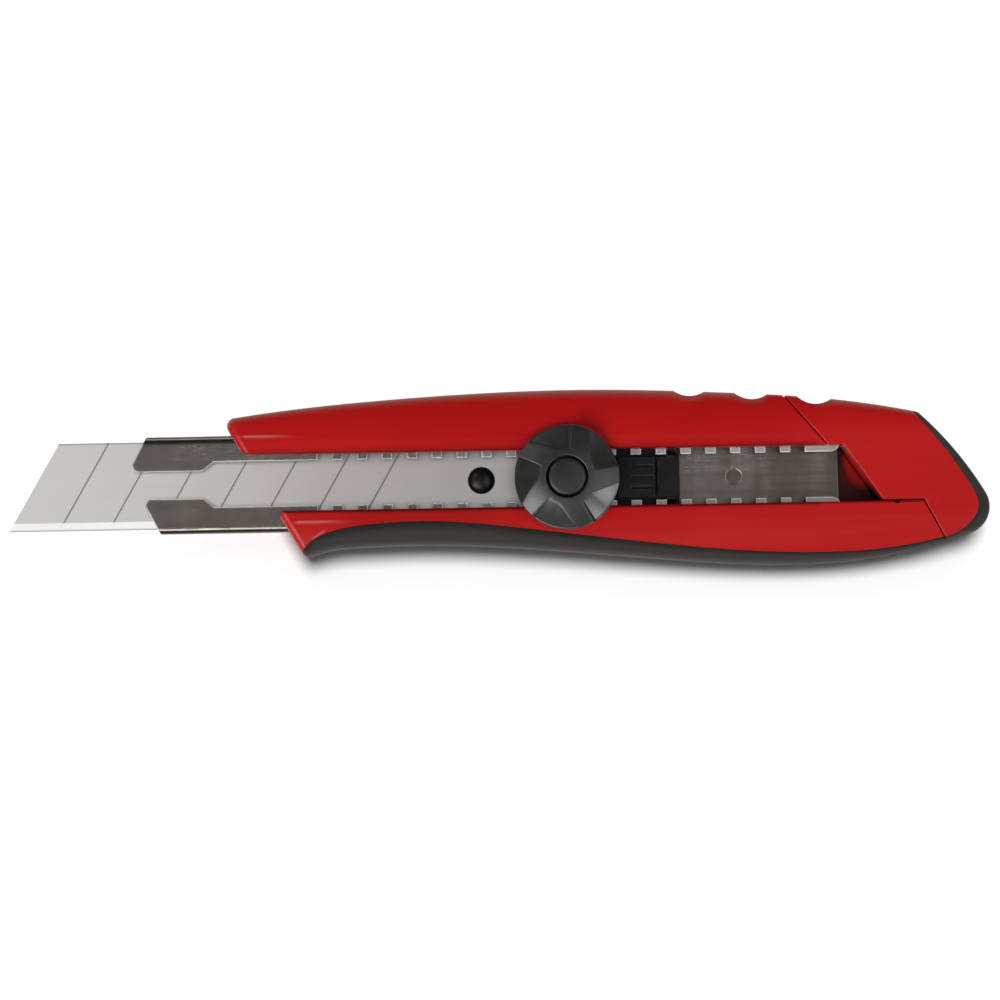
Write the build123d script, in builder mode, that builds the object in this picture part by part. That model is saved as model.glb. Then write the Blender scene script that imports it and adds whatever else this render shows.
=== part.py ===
from build123d import *

import math
import os

# Snap-off utility knife with a screw lock, lying on its back face.
# X runs along the blade channel towards the tail, Y towards the spine, Z up from the back face.
# The origin is on the back face, under the channel's centreline, at the middle of the handle.
# Lengths are in millimetres and angles in degrees.

os.makedirs("parts", exist_ok=True)

# Clearances
slide_gap = 0.15
seat_gap = 0.05
seam_gap = 0.15
shoe_side_gap = 0.35
slider_side_gap = 0.3

# Blade
blade_width = 18.0
blade_thickness = 0.5
blade_angle = 60.0
blade_front_x = -117.9
segment_pitch = 10.25
segment_count = 8
blade_tail_x = -15.6
blade_tail_chamfer = 2.5
blade_bevel = 1.7
blade_edge_land = 0.1
score_width = 0.3
score_depth = 0.12
blade_pin_x = -26.0

# Blade channel, folded from one sheet
sheet = 0.8
fold_radius = 1.2
channel_side_gap = 0.2
channel_inner_height = 3.4
channel_bottom_z = 6.0
channel_rear_x = 47.5
lip_opening = 9.3
jaw_opening = 5.6
nose_upper_x = -94.6
nose_lower_x = -91.9
jaw_lean = 3.8
jaw_corner_radius = 1.3
jaw_rear_x = -83.2
lip_corner_radius = 1.8
jaw_ramp = 2.4
nose_press_x = -86.6
nose_press_length = 9.0
nose_top_gap = 0.5
notch_width = 3.0
notch_depth = 2.6
notch_pitch = 5.1
notch_count = 20
notch_first_x = -58.0
rivet_positions = (-52.0, 26.0)
rivet_head_diameter = 3.2
rivet_shank_diameter = 2.0
rivet_clench_diameter = 3.0
rivet_clench_height = 0.5

# Handle
body_depth = 15.2
wall = 2.2
crown_flat = 8.5
crown_radius = 17.0
edge_radius = 1.5
corner_radius = 1.7
slot_width = 11.6
mouth_radius_upper = 2.5
mouth_radius_lower = 1.0
slot_edge_chamfer = 0.4
rail_width = 1.5
dip_radius = 5.2
catch_notch_radius = 0.7
spine_pocket_x = -20.0
spine_pocket_height = 9.0
magazine_x = -64.0
magazine_width = 18.6
magazine_height = 2.4

# Outline of the handle, seen from the front
nose_top = (-78.8, 13.0)
spine_points = ((-63.0, 15.1), (-44.5, 16.7), (-20.0, 17.95), (0.0, 18.07), (20.0, 17.25), (39.6, 15.95))
tail_corner = (63.3, 12.3)
tail_bulge = (70.6, 4.6)
tail_round_start = (76.8, -4.3)
tail_round_end = (73.4, -12.7)
belly_rear = ((69.0, -14.05), (55.6, -17.05), (34.0, -18.3), (8.3, -16.5))
belly_front = ((-22.4, -13.8), (-41.5, -13.15), (-53.0, -13.5))
beak = (-62.2, -15.4)
dip_bottoms = ((16.9, 16.35), (29.6, 15.45), (42.6, 14.25))

# Upper edge of the soft grip, from the beak to the tail, and inner edge of the cap's bumper
grip_front = ((-62.9, -16.6), (-61.4, -12.5), (-57.8, -10.5), (-48.0, -8.75), (-37.5, -8.35))
grip_rear = ((-20.3, -9.75), (10.5, -13.7), (40.0, -15.95), (62.8, -14.4), (71.0, -12.45))
bumper_points = ((65.4, -13.1), (73.2, -10.6), (75.1, -7.2), (73.0, -1.9), (68.5, 4.8), (61.9, 12.8))

# Seam between the handle and the end cap, from the spine to the belly
seam_points = ((30.05, 23.3), (44.85, 5.8), (47.9, 5.8), (55.75, -5.5), (64.1, -5.5), (71.45, -19.2))
catch_notch_x = 58.65
seam_round = 0.25
rim_zone = 3.2

# End cap
cap_tongue_x = 31.0
cap_tongue_height = 1.6
cap_tongue_thickness = 6.0

# Blade holder, a steel plate, and the black slider block that it carries
holder_front_x = -31.5
holder_thickness = 1.4
holder_width = 13.0
holder_corner_radius = 1.5
slider_front_x = -15.0
slider_rear_x = 14.6
spine_rib_width = 8.0
thumb_block_start = 2.0
thumb_block_end = 9.4
thumb_block_rise = 1.6
rear_block_start = 10.2
rear_block_rise = 0.9
thumb_groove_width = 0.7
thumb_groove_depth = 0.6
thumb_groove_pitch = 2.15
thumb_groove_count = 3
thumb_groove_length = 4.8
blade_pin_diameter = 5.3
blade_pin_shank = 3.0
blade_pin_rise = 0.9
blade_pin_round = 0.6

# Lock screw, wheel and what lies between them
wheel_x = -8.6
bolt_diameter = 4.0
bolt_head_size = 7.0
bolt_head_height = 1.6
bolt_end_chamfer = 0.4
shoe_length = 17.0
shoe_corner_radius = 2.0
washer_diameter = 9.6
washer_thickness = 0.5
wheel_diameter = 21.4
wheel_lift = 0.4
wheel_hub_height = 0.8
wheel_hub_diameter = 9.4
wheel_rim_height = 3.2
wheel_height = 4.8
wheel_dome_radius = 14.0
wheel_edge_chamfer = 0.6
scoop_count = 5
scoop_radius = 4.8
scoop_start = 5.2
scoop_slope = 28.0
scoop_skew = 40.0
scoop_first_angle = 20.0
insert_diameter = 6.4
insert_height = 3.6
wheel_cap_diameter = 7.4
wheel_cap_groove = 0.55
wheel_cap_height = 1.5
wheel_cap_rise = 0.3
wheel_cap_round = 0.5

# Detent spring
spring_x = 12.2
spring_width = 1.8
spring_thickness = 0.3
spring_flat = 9.0
spring_span = 13.6
spring_rise = 0.9

# Levels and widths that follow from the sizes above
floor_z = channel_bottom_z + sheet
lip_under_z = floor_z + channel_inner_height
lip_top_z = lip_under_z + sheet
channel_inner_width = blade_width + 2 * channel_side_gap
channel_width = channel_inner_width + 2 * sheet
trough_half = channel_width / 2 + seat_gap
rail_half = trough_half + rail_width
slot_half = slot_width / 2
holder_z = floor_z + slide_gap
holder_top_z = holder_z + holder_thickness
blade_z = holder_top_z + seat_gap
blade_top_z = blade_z + blade_thickness
nose_floor_z = blade_z - slide_gap
nose_lip_z = blade_top_z + nose_top_gap
nose_rear_x = nose_press_x + nose_press_length
slider_top_z = lip_under_z - slide_gap
slider_half = channel_inner_width / 2 - slider_side_gap
spring_z = slider_top_z - spring_thickness - spring_rise
wheel_bottom_z = body_depth + wheel_lift
wheel_rim_z = wheel_bottom_z + wheel_rim_height
wheel_top_z = wheel_bottom_z + wheel_height
hub_bottom_z = wheel_bottom_z - wheel_hub_height
washer_top_z = hub_bottom_z - seat_gap
shoe_top_z = washer_top_z - washer_thickness
shoe_bottom_z = lip_top_z + seat_gap
insert_top_z = hub_bottom_z + insert_height
cap_seat_z = wheel_top_z - wheel_cap_height
magazine_top_z = wall + magazine_height
slant = math.tan(math.radians(90 - blade_angle))
reach = 2 * (tail_round_start[0] - blade_front_x)
wheel_axis = Axis((wheel_x, 0, 0), (0, 0, 1))
on_base = (Align.CENTER, Align.CENTER, Align.MIN)


def write(piece, name):
    """Label a finished piece and write its STEP file."""
    piece.part.label = name
    export_step(piece.part, f"parts/{name}.step")


def shifted(points, dx, dy):
    """The same points moved by one step."""
    return [(x + dx, y + dy) for x, y in points]


def seam_outline(gap):
    """Closed outline of everything on the cap's side of the seam, moved outwards by a gap."""
    path = shifted(seam_points, -gap, -gap)
    return [*path, (reach, path[-1][1]), (reach, path[0][1])]


def draw_mouth_corner(edge_y, radius):
    """Draw the corner that is rounded off where the slot's edge meets the slanted nose."""
    lean = (beak[0] - nose_top[0]) / (nose_top[1] - beak[1])
    corner = Vector(nose_top[0] + (nose_top[1] - edge_y) * lean, edge_y)
    along_nose = Vector(-lean, 1).normalized() * math.copysign(1, edge_y)
    half_angle = math.radians(along_nose.get_angle(Vector(1, 0, 0)) / 2)
    on_edge = corner + Vector(radius / math.tan(half_angle), 0)
    on_nose = corner + along_nose * (radius / math.tan(half_angle))
    Line(corner, on_edge)
    TangentArc(on_edge, on_nose, tangent=(-1, 0))
    Line(on_nose, corner)


def rim_edges(piece, curve):
    """Edges on the front and back faces of a piece that run along a flat curve."""
    middle_z = body_depth / 2
    outer = piece.edges().filter_by(lambda edge: abs(edge.center().Z - middle_z) > middle_z - rim_zone)
    return outer.filter_by(
        lambda edge: all(curve.distance_to(Vertex((edge @ t).X, (edge @ t).Y, 0)) < 0.01 for t in (0, 0.5, 1))
    )


def seam_line(gap):
    """The seam as an open wire, moved outwards by a gap."""
    return Wire.make_polygon(shifted(seam_points, -gap, -gap), close=False)


# Outer form of the whole handle, before it is divided
with BuildPart() as handle_form:
    with BuildSketch() as outline:
        with BuildLine():
            Spline(nose_top, *spine_points, tail_corner)
            tail_back = ThreePointArc(tail_corner, tail_bulge, tail_round_start)
            tail_round = TangentArc(tail_round_start, tail_round_end, tangent=tail_back % 1)
            Spline(tail_round_end, *belly_rear, *belly_front, beak, tangents=[tail_round % 1, (-1.0, -0.35)])
            Line(beak, nose_top)
        make_face()
        corners = [outline.vertices().sort_by_distance(point)[0] for point in (nose_top, tail_corner, beak)]
        fillet(corners, corner_radius)
    extrude(amount=body_depth)
    with BuildSketch(Plane.YZ):
        with BuildLine():
            crown_half = crown_flat + 0.6 * crown_radius
            crown_edge_z = body_depth - 0.2 * crown_radius
            Line((-crown_half, crown_edge_z), (-crown_half, 0))
            Line((-crown_half, 0), (crown_half, 0))
            Line((crown_half, 0), (crown_half, crown_edge_z))
            RadiusArc((crown_half, crown_edge_z), (crown_flat, body_depth), -crown_radius)
            Line((crown_flat, body_depth), (-crown_flat, body_depth))
            RadiusArc((-crown_flat, body_depth), (-crown_half, crown_edge_z), -crown_radius)
        make_face()
    extrude(amount=reach, both=True, mode=Mode.INTERSECT)
    front_rim = handle_form.edges().filter_by_position(Axis.Z, 0.7 * body_depth, 2 * body_depth)
    back_rim = handle_form.edges().group_by(Axis.Z)[0]
    fillet(front_rim.filter_by(Axis.X, reverse=True) + back_rim, edge_radius)
    with BuildSketch():
        with Locations(*shifted(dip_bottoms, 0, dip_radius)):
            Circle(dip_radius)
    extrude(amount=body_depth, mode=Mode.SUBTRACT)

# Space of the soft grip along the belly, kept clear of the rails that hold the channel
with BuildPart() as grip_form:
    with BuildSketch():
        with BuildLine():
            upper_edge = Spline(*grip_front, *grip_rear)
            Polyline(upper_edge @ 1, (reach, -reach), (-reach, -reach), upper_edge @ 0)
        make_face()
        with BuildLine():
            Polyline(*seam_outline(seam_gap), close=True)
        make_face(mode=Mode.SUBTRACT)
    extrude(amount=body_depth)
    with BuildSketch(Plane.YZ):
        with Locations((reach - rail_half, (channel_bottom_z + lip_top_z) / 2)):
            Rectangle(2 * reach, lip_top_z - channel_bottom_z + 2 * rail_width)
    extrude(amount=reach, both=True, mode=Mode.SUBTRACT)
    add(handle_form.part, mode=Mode.INTERSECT)

# Soft grip with its seams rounded
with BuildPart() as belly_grip:
    add(grip_form.part)
    fillet(rim_edges(belly_grip, upper_edge), seam_round)
write(belly_grip, "belly_grip")

# Hard body of the handle: a moulded C section round the channel, open at the nose and the tail
with BuildPart() as handle_body:
    add(handle_form.part)
    add(grip_form.part, mode=Mode.SUBTRACT)
    with BuildSketch():
        with BuildLine():
            Polyline(*seam_outline(seam_gap), close=True)
        make_face()
    extrude(amount=body_depth, mode=Mode.SUBTRACT)
    fillet(rim_edges(handle_body, seam_line(seam_gap)), seam_round)
    with BuildSketch(Plane.XY.offset(channel_bottom_z)):
        Rectangle(2 * reach, 2 * trough_half)
    extrude(amount=lip_top_z + seat_gap - channel_bottom_z, mode=Mode.SUBTRACT)
    with BuildSketch(Plane.XY.offset(lip_top_z)):
        Rectangle(2 * reach, slot_width)
        with BuildLine():
            draw_mouth_corner(slot_half, mouth_radius_upper)
        make_face()
        with BuildLine():
            draw_mouth_corner(-slot_half, mouth_radius_lower)
        make_face()
    extrude(amount=body_depth, mode=Mode.SUBTRACT)
    with BuildSketch(Plane.YZ):
        with BuildLine():
            Polyline(
                (-slot_half, body_depth - slot_edge_chamfer),
                (-slot_half - slot_edge_chamfer, body_depth),
                (slot_half + slot_edge_chamfer, body_depth),
                (slot_half, body_depth - slot_edge_chamfer),
                close=True,
            )
        make_face()
    extrude(amount=reach, both=True, mode=Mode.SUBTRACT)
    with BuildSketch(Plane.XY.offset(wall)):
        with Locations((magazine_x + reach / 2, 0)):
            Rectangle(reach, magazine_width)
    extrude(amount=magazine_height, mode=Mode.SUBTRACT)
    with BuildSketch(Plane.XY.offset(wall)):
        with BuildLine():
            pocket_top = Spline(*shifted([nose_top, *spine_points, tail_corner], 0, -wall))
            Polyline(pocket_top @ 1, (tail_corner[0], 0), (nose_top[0], 0), pocket_top @ 0)
        make_face()
        Rectangle(2 * reach, 2 * rail_half, mode=Mode.SUBTRACT)
        with Locations((spine_pocket_x - reach / 2, 0)):
            Rectangle(reach, reach, mode=Mode.SUBTRACT)
    extrude(amount=spine_pocket_height, mode=Mode.SUBTRACT)
    with BuildSketch(Plane.XY.offset(lip_top_z)):
        with Locations((catch_notch_x, seam_points[3][1] - seam_gap)):
            Circle(catch_notch_radius)
    extrude(amount=body_depth, mode=Mode.SUBTRACT)
    with Locations(*[(x, 0, magazine_top_z) for x in rivet_positions]):
        Cylinder(
            rivet_shank_diameter / 2 + seat_gap,
            channel_bottom_z - magazine_top_z,
            align=on_base,
            mode=Mode.SUBTRACT,
        )
write(handle_body, "handle_body")

# Tail end of the handle, beyond the seam
with BuildPart() as tail_form:
    add(handle_form.part)
    with BuildSketch():
        with BuildLine():
            Polyline(*seam_outline(0), close=True)
        make_face()
    extrude(amount=body_depth, mode=Mode.INTERSECT)
    fillet(rim_edges(tail_form, seam_line(0)), seam_round)

# Space of the soft bumper round the tail
with BuildPart() as bumper_form:
    add(tail_form.part)
    with BuildSketch():
        with BuildLine():
            inner_edge = Spline(*bumper_points)
            Polyline(inner_edge @ 1, (reach, reach), (reach, -reach), inner_edge @ 0)
        make_face()
    extrude(amount=body_depth, mode=Mode.INTERSECT)

# Soft bumper with its seams rounded
with BuildPart() as tail_bumper:
    add(bumper_form.part)
write(tail_bumper, "tail_bumper")

# End cap, hollow, with a wall across its mouth above the spare blades and a tongue for the spine pocket
with BuildPart() as end_cap:
    add(tail_form.part)
    add(bumper_form.part, mode=Mode.SUBTRACT)
    with BuildSketch(Plane.XY.offset(wall)):
        hollow_top = trough_half + slide_gap
        hollow_bottom = seam_points[3][1] + wall
        with Locations((0, (hollow_top + hollow_bottom) / 2)):
            Rectangle(reach, hollow_top - hollow_bottom)
        with BuildLine():
            inner_wall = Spline(*shifted(bumper_points, -wall, 0))
            Polyline(inner_wall @ 1, (reach, reach), (reach, -reach), inner_wall @ 0)
        make_face(mode=Mode.SUBTRACT)
    extrude(amount=body_depth - 2 * wall, mode=Mode.SUBTRACT)
    with BuildSketch(Plane.XY.offset(magazine_top_z + slide_gap)):
        with BuildLine():
            mouth = seam_points[2:4]
            mouth_top = hollow_top + wall / 2
            Polyline(
                *mouth,
                *shifted(mouth[::-1], wall, 0),
                (mouth[0][0] + wall, mouth_top),
                (mouth[0][0], mouth_top),
                close=True,
            )
        make_face()
    extrude(amount=body_depth - wall - magazine_top_z)
    with BuildSketch(Plane.XY.offset(wall + slide_gap)):
        with BuildLine():
            tongue_bottom = rail_half + slide_gap
            tongue_top = tongue_bottom + cap_tongue_height
            Polyline(
                (cap_tongue_x, tongue_bottom),
                (channel_rear_x, tongue_bottom),
                (channel_rear_x, tongue_top),
                (cap_tongue_x, tongue_top),
                close=True,
            )
        make_face()
    extrude(amount=cap_tongue_thickness)
write(end_cap, "end_cap")

# Blade channel: a folded tube, pressed flat at the nose, opened along the front and notched
with BuildPart() as blade_channel:
    for width, skin, fold, mode in (
        (channel_width, sheet, fold_radius, Mode.ADD),
        (channel_inner_width, 0, fold_radius - sheet, Mode.SUBTRACT),
    ):
        rear_height = channel_inner_height + 2 * skin
        nose_height = nose_lip_z - nose_floor_z + 2 * skin
        rear_plane = Plane.YZ.offset(nose_rear_x)
        with BuildSketch(rear_plane) as rear_section:
            with Locations((0, floor_z + channel_inner_height / 2)):
                RectangleRounded(width, rear_height, min(fold, 0.45 * nose_height))
        extrude(amount=channel_rear_x - nose_rear_x, mode=mode)
        with BuildSketch(Plane.YZ.offset(nose_press_x)) as nose_section:
            with Locations((0, (nose_floor_z + nose_lip_z) / 2)):
                RectangleRounded(width, nose_height, min(fold, 0.45 * nose_height))
        extrude(amount=nose_upper_x - jaw_lean - nose_press_x, mode=mode)
        loft(sections=[rear_section.sketch, nose_section.sketch], mode=mode)
    with BuildSketch():
        with BuildLine():
            Polyline(
                (channel_rear_x, channel_width / 2),
                (nose_upper_x, channel_width / 2),
                (nose_upper_x - jaw_lean, jaw_opening / 2),
                (nose_lower_x - jaw_lean, -jaw_opening / 2),
                (nose_lower_x, -channel_width / 2),
                (channel_rear_x, -channel_width / 2),
                close=True,
            )
        make_face()
    extrude(amount=body_depth, mode=Mode.INTERSECT)
    with BuildSketch(Plane.XY.offset(blade_z)):
        with BuildLine():
            Polyline(
                (-reach, jaw_opening / 2),
                (jaw_rear_x, jaw_opening / 2),
                (jaw_rear_x + jaw_ramp, lip_opening / 2),
                (reach, lip_opening / 2),
                (reach, -lip_opening / 2),
                (jaw_rear_x + jaw_ramp, -lip_opening / 2),
                (jaw_rear_x, -jaw_opening / 2),
                (-reach, -jaw_opening / 2),
                close=True,
            )
        make_face()
        with Locations((notch_first_x + (notch_count - 1) * notch_pitch / 2, 0)):
            with GridLocations(notch_pitch, lip_opening + notch_depth, notch_count, 2):
                Rectangle(notch_width, notch_depth)
    extrude(amount=body_depth, mode=Mode.SUBTRACT)
    with Locations(*[(x, 0, channel_bottom_z) for x in rivet_positions]):
        Cone(
            rivet_shank_diameter / 2 + seat_gap,
            rivet_head_diameter / 2 + seat_gap,
            sheet,
            align=(Align.CENTER, Align.CENTER, Align.MIN),
            mode=Mode.SUBTRACT,
        )
    upright = blade_channel.edges().filter_by(Axis.Z).filter_by_position(Axis.Z, blade_top_z, body_depth)
    jaw_tips = upright.filter_by_position(Axis.X, -reach, jaw_rear_x - jaw_ramp)
    fillet(jaw_tips.filter_by_position(Axis.Y, -jaw_opening, jaw_opening), jaw_corner_radius)
    upright = blade_channel.edges().filter_by(Axis.Z).filter_by_position(Axis.Z, blade_top_z, body_depth)
    lip_ends = upright.filter_by_position(Axis.X, channel_rear_x - seat_gap, reach)
    fillet(lip_ends.filter_by_position(Axis.Y, -lip_opening, lip_opening), lip_corner_radius)
write(blade_channel, "blade_channel")

# Rivets that hold the channel's floor to the web under it
with BuildPart() as channel_rivets:
    with Locations(*[(x, 0, channel_bottom_z) for x in rivet_positions]):
        Cone(rivet_shank_diameter / 2, rivet_head_diameter / 2, sheet, align=on_base)
    with Locations(*[(x, 0, magazine_top_z) for x in rivet_positions]):
        Cylinder(rivet_shank_diameter / 2, channel_bottom_z - magazine_top_z, align=on_base)
    with Locations(*[(x, 0, magazine_top_z - rivet_clench_height) for x in rivet_positions]):
        Cylinder(rivet_clench_diameter / 2, rivet_clench_height, align=on_base)
write(channel_rivets, "channel_rivets")

# Blade with a ground edge along the belly side and score lines between its segments
with BuildPart() as blade:
    blade_half = blade_width / 2
    with BuildSketch(Plane.XY.offset(blade_z)):
        with BuildLine():
            Polyline(
                (blade_front_x - blade_half * slant, -blade_half),
                (blade_front_x + blade_half * slant, blade_half),
                (blade_tail_x - blade_tail_chamfer, blade_half),
                (blade_tail_x, blade_half - blade_tail_chamfer),
                (blade_tail_x, -blade_half + blade_tail_chamfer),
                (blade_tail_x - blade_tail_chamfer, -blade_half),
                close=True,
            )
        make_face()
        with Locations((blade_pin_x, 0)):
            Circle(blade_pin_diameter / 2 + slide_gap, mode=Mode.SUBTRACT)
    extrude(amount=blade_thickness)
    for face_z, side in ((blade_z, -1), (blade_top_z, 1)):
        with BuildSketch(Plane.YZ):
            with BuildLine():
                Polyline(
                    (-blade_half, face_z),
                    (-blade_half + blade_bevel, face_z),
                    (-blade_half, face_z - side * (blade_thickness - blade_edge_land) / 2),
                    close=True,
                )
            make_face()
        extrude(amount=reach, both=True, mode=Mode.SUBTRACT)
    with BuildSketch(Plane.XY.offset(blade_top_z - score_depth)):
        with Locations(*[(blade_front_x + n * segment_pitch, 0) for n in range(1, segment_count)]):
            Rectangle(score_width, 2 * blade_width, rotation=blade_angle - 90)
    extrude(amount=score_depth, mode=Mode.SUBTRACT)
write(blade, "blade")

# Steel plate under the blade's tail and the slider block
with BuildPart() as blade_holder:
    with BuildSketch(Plane.XY.offset(holder_z)):
        with Locations(((holder_front_x + slider_rear_x) / 2, 0)):
            RectangleRounded(slider_rear_x - holder_front_x, holder_width, holder_corner_radius)
        with Locations((blade_pin_x, 0)):
            Circle(blade_pin_shank / 2 + seat_gap, mode=Mode.SUBTRACT)
        with Locations((wheel_x, 0)):
            RegularPolygon(bolt_head_size / 2 + seat_gap, 6, major_radius=False, mode=Mode.SUBTRACT)
    extrude(amount=holder_thickness)
write(blade_holder, "blade_holder")

# Stud that the blade's hole drops over
with BuildPart() as blade_pin:
    with Locations((blade_pin_x, 0, holder_z)):
        Cylinder(blade_pin_shank / 2, holder_thickness, align=on_base)
    with Locations((blade_pin_x, 0, holder_top_z)):
        Cylinder(blade_pin_diameter / 2, blade_thickness + blade_pin_rise, align=on_base)
    fillet(blade_pin.edges().group_by(Axis.Z)[-1], blade_pin_round)
write(blade_pin, "blade_pin")

# Black slider block: a flange under the lips and blocks that stand between them
with BuildPart() as slider_block:
    flange_middle = (slider_front_x + slider_rear_x) / 2
    flange_length = slider_rear_x - slider_front_x
    with BuildSketch(Plane.XY.offset(holder_z)):
        with Locations((flange_middle, 0)):
            Rectangle(flange_length, 2 * slider_half)
    extrude(amount=slider_top_z - holder_z)
    with BuildSketch(Plane.XY.offset(holder_z)):
        with Locations((flange_middle, 0)):
            Rectangle(flange_length + slide_gap, holder_width + 2 * seat_gap)
    extrude(amount=holder_thickness, mode=Mode.SUBTRACT)
    for start_x, end_x, top_z in (
        (slider_front_x, rear_block_start, lip_top_z - slide_gap),
        (thumb_block_start, thumb_block_end, lip_top_z + thumb_block_rise),
        (rear_block_start, slider_rear_x, lip_top_z + rear_block_rise),
    ):
        with BuildSketch(Plane.XY.offset(slider_top_z)):
            with Locations(((start_x + end_x) / 2, 0)):
                Rectangle(end_x - start_x, spine_rib_width)
        extrude(amount=top_z - slider_top_z)
    with BuildSketch(Plane.XY.offset(lip_top_z + thumb_block_rise - thumb_groove_depth)):
        with Locations((thumb_block_end - thumb_groove_length / 2, 0)):
            with GridLocations(0, thumb_groove_pitch, 1, thumb_groove_count):
                Rectangle(thumb_groove_length, thumb_groove_width)
    extrude(amount=thumb_groove_depth, mode=Mode.SUBTRACT)
    with Locations((wheel_x, 0, holder_z)):
        Cylinder(bolt_diameter / 2 + seat_gap, body_depth, align=on_base, mode=Mode.SUBTRACT)
    with BuildSketch(Plane.XY.offset(holder_z)):
        with Locations((wheel_x, 0)):
            RegularPolygon(bolt_head_size / 2 + seat_gap, 6, major_radius=False)
    extrude(amount=bolt_head_height + seat_gap, mode=Mode.SUBTRACT)
    with BuildSketch(Plane.XY.offset(spring_z - seat_gap)):
        with Locations((spring_x + spring_width / 2, 0)):
            Rectangle(spring_width + 2 * seat_gap, 2 * blade_width)
    extrude(amount=spring_thickness + 2 * seat_gap, mode=Mode.SUBTRACT)
    with BuildSketch(Plane.XY.offset(spring_z)):
        with Locations((spring_x + spring_width / 2, 0)):
            Rectangle(spring_width + 2 * seat_gap, 2 * blade_width)
            Rectangle(spring_width + 2 * slide_gap, spine_rib_width, mode=Mode.SUBTRACT)
    extrude(amount=body_depth, mode=Mode.SUBTRACT)
write(slider_block, "slider_block")

# Leaf spring whose raised ears feel for the notches
with BuildPart() as detent_spring:
    with BuildSketch(Plane.YZ.offset(spring_x)):
        with BuildLine():
            lower_edge = [
                (-spring_span / 2, spring_z + spring_rise),
                (-spring_flat / 2, spring_z),
                (spring_flat / 2, spring_z),
                (spring_span / 2, spring_z + spring_rise),
            ]
            Polyline(*lower_edge, *reversed(shifted(lower_edge, 0, spring_thickness)), close=True)
        make_face()
    extrude(amount=spring_width)
write(detent_spring, "detent_spring")

# Lock screw, held from turning by its hexagon head in the slider
with BuildPart() as lock_bolt:
    with BuildSketch(Plane.XY.offset(holder_z)):
        with Locations((wheel_x, 0)):
            RegularPolygon(bolt_head_size / 2, 6, major_radius=False)
    extrude(amount=bolt_head_height)
    with Locations((wheel_x, 0, holder_z + bolt_head_height)):
        Cylinder(bolt_diameter / 2, insert_top_z - seat_gap - holder_z - bolt_head_height, align=on_base)
    chamfer(lock_bolt.edges().group_by(Axis.Z)[-1], bolt_end_chamfer)
write(lock_bolt, "lock_bolt")

# Shoe that the wheel presses onto the channel's lips
with BuildPart() as clamp_shoe:
    with BuildSketch(Plane.XY.offset(shoe_bottom_z)):
        with Locations((wheel_x, 0)):
            RectangleRounded(shoe_length, slot_width - 2 * shoe_side_gap, shoe_corner_radius)
            Circle(bolt_diameter / 2 + seat_gap, mode=Mode.SUBTRACT)
    extrude(amount=shoe_top_z - shoe_bottom_z)
write(clamp_shoe, "clamp_shoe")

# Washer between the shoe and the wheel
with BuildPart() as thrust_washer:
    with BuildSketch(Plane.XY.offset(shoe_top_z)):
        with Locations((wheel_x, 0)):
            Circle(washer_diameter / 2)
            Circle(bolt_diameter / 2 + seat_gap, mode=Mode.SUBTRACT)
    extrude(amount=washer_thickness)
write(thrust_washer, "thrust_washer")

# Lock wheel, turned, with five finger scoops
with BuildPart() as lock_wheel:
    wheel_radius = wheel_diameter / 2
    recess_radius = wheel_cap_diameter / 2 + wheel_cap_groove
    bore_radius = insert_diameter / 2 + seat_gap
    with BuildSketch(Plane.XZ.move(Location((wheel_x, 0, 0)))):
        with BuildLine():
            Polyline(
                (recess_radius, wheel_top_z),
                (recess_radius, cap_seat_z),
                (bore_radius, cap_seat_z),
                (bore_radius, hub_bottom_z),
                (wheel_hub_diameter / 2, hub_bottom_z),
                (wheel_hub_diameter / 2, wheel_bottom_z),
                (wheel_radius - wheel_edge_chamfer, wheel_bottom_z),
                (wheel_radius, wheel_bottom_z + wheel_edge_chamfer),
                (wheel_radius, wheel_rim_z),
            )
            RadiusArc((wheel_radius, wheel_rim_z), (recess_radius, wheel_top_z), -wheel_dome_radius)
        make_face()
    revolve(axis=wheel_axis)
    for n in range(scoop_count):
        angle = scoop_first_angle + n * 360 / scoop_count
        outward = Vector(1, 0, 0).rotate(Axis.Z, angle)
        heading = Vector(1, 0, 0).rotate(Axis.Z, angle + scoop_skew)
        slope = math.radians(scoop_slope)
        along = heading * math.cos(slope) - Vector(0, 0, math.sin(slope))
        upward = heading * math.sin(slope) + Vector(0, 0, math.cos(slope))
        start_point = Vector(wheel_x, 0, wheel_top_z) + outward * scoop_start + upward * scoop_radius
        with BuildSketch(Plane(origin=start_point, z_dir=along)):
            Circle(scoop_radius)
        extrude(amount=wheel_diameter, both=True, mode=Mode.SUBTRACT)
write(lock_wheel, "lock_wheel")

# Threaded insert moulded into the wheel
with BuildPart() as wheel_insert:
    with BuildSketch(Plane.XY.offset(hub_bottom_z)):
        with Locations((wheel_x, 0)):
            Circle(insert_diameter / 2)
            Circle(bolt_diameter / 2 + seat_gap, mode=Mode.SUBTRACT)
    extrude(amount=insert_height)
write(wheel_insert, "wheel_insert")

# Cap that closes the wheel's middle
with BuildPart() as wheel_cap:
    with Locations((wheel_x, 0, cap_seat_z)):
        Cylinder(wheel_cap_diameter / 2, wheel_cap_height + wheel_cap_rise, align=on_base)
    fillet(wheel_cap.edges().group_by(Axis.Z)[-1], wheel_cap_round)
write(wheel_cap, "wheel_cap")
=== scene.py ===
import math

import bmesh
import bpy
import numpy as np
from bpy.props import FloatProperty, FloatVectorProperty, IntProperty, PointerProperty
from bpy.types import Operator, Panel, PropertyGroup
from mathutils import Matrix, Vector


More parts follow.
